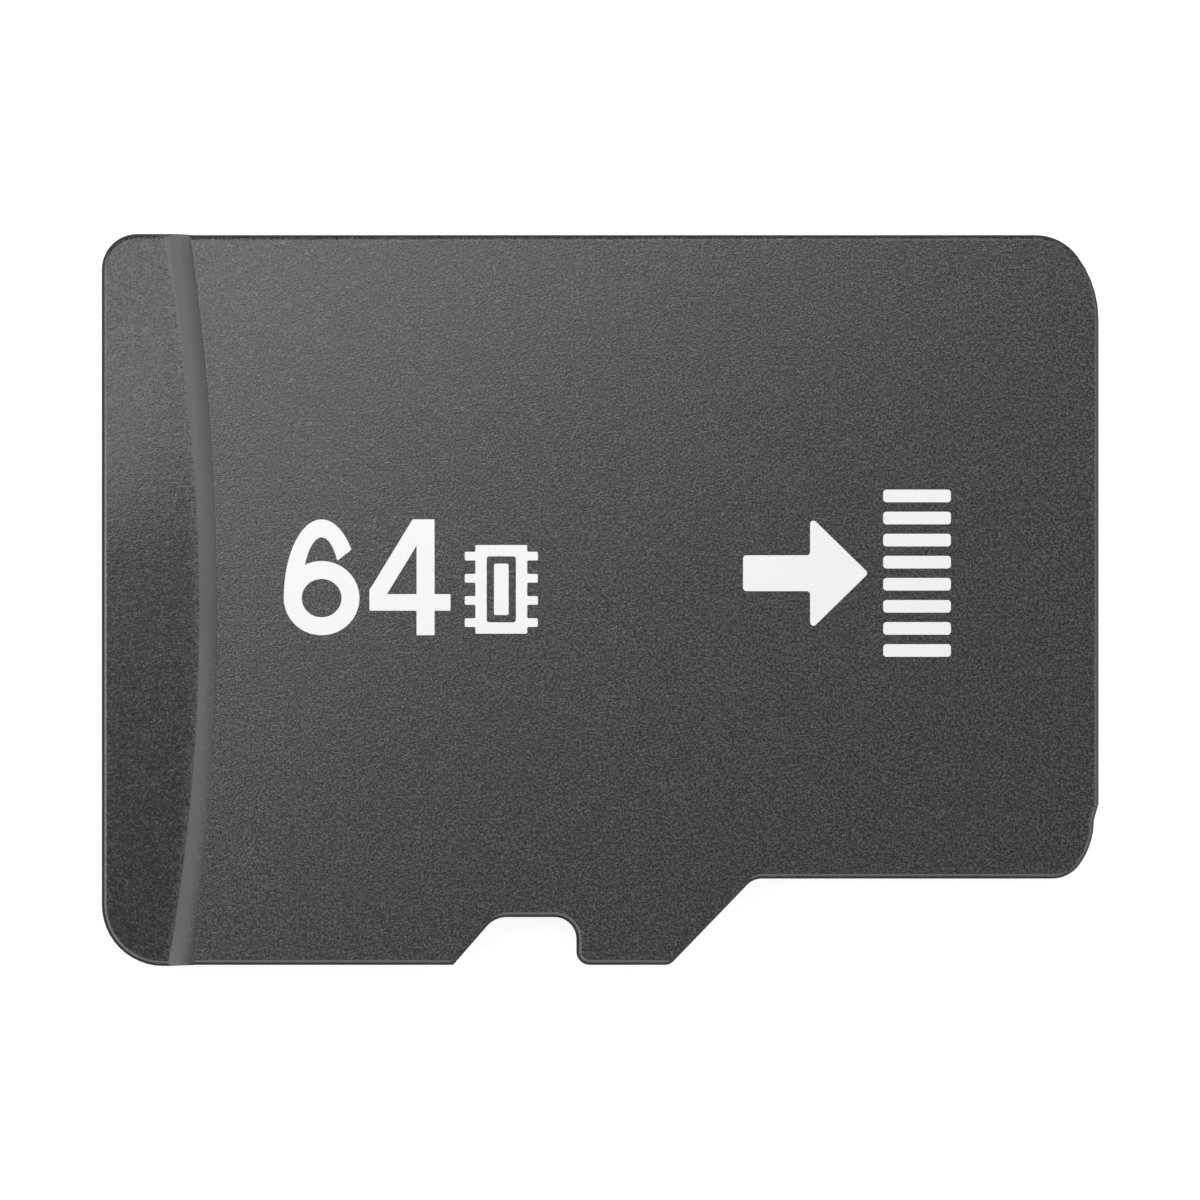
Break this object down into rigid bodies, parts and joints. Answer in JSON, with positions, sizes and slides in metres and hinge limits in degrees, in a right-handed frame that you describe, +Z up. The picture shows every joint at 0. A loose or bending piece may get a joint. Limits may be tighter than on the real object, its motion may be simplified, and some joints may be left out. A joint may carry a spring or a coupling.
{
  "type": "memory card",
  "caption": "Small flat removable memory card with a narrow nose, a latch notch, a curved finger ridge and gold contacts underneath.",
  "frame": {"origin": "centre of the card's outline box, on the underside", "axes": "+X towards the insertion end where the contacts are, +Y towards the straight long side, +Z up through the moulded top; the card lies on its contact side"},
  "size_m": [0.015, 0.011, 0.001],
  "materials": {
    "resin": "fine sand-blasted dark grey moulding",
    "laminate": "cut edge of a dark glass-fibre laminate",
    "solder_mask": "black satin solder mask",
    "contact_gold": "hard gold plating",
    "copper": "bare copper",
    "silicon": "polished silicon",
    "attach_film": "translucent adhesive film",
    "bond_gold": "drawn gold wire and plated fingers",
    "ceramic": "fired ceramic",
    "tin": "matt tin plating",
    "print_ink": "white printing ink on the moulding's top"
  },
  "bodies": {
    "root": {"moulded_body": "resin", "substrate_core": "laminate", "under_mask": "solder_mask", "upper_mask": "solder_mask", "layer_plugs": "copper", "bond_fingers": "bond_gold", "lower_die_film": "attach_film", "lower_flash_die": "silicon", "upper_die_film": "attach_film", "upper_flash_die": "silicon", "controller_film": "attach_film", "controller_die": "silicon", "lower_die_wires": "bond_gold", "upper_die_wires": "bond_gold", "controller_wires": "bond_gold", "contact_1": "contact_gold", "contact_2": "contact_gold", "contact_3": "contact_gold", "contact_4": "contact_gold", "contact_5": "contact_gold", "contact_6": "contact_gold", "contact_7": "contact_gold", "contact_8": "contact_gold", "capacitor_1": "ceramic", "capacitor_2": "ceramic", "capacitor_3": "ceramic", "capacitor_ends_1": "tin", "capacitor_ends_2": "tin", "capacitor_ends_3": "tin"}
  },
  "joints": []
}
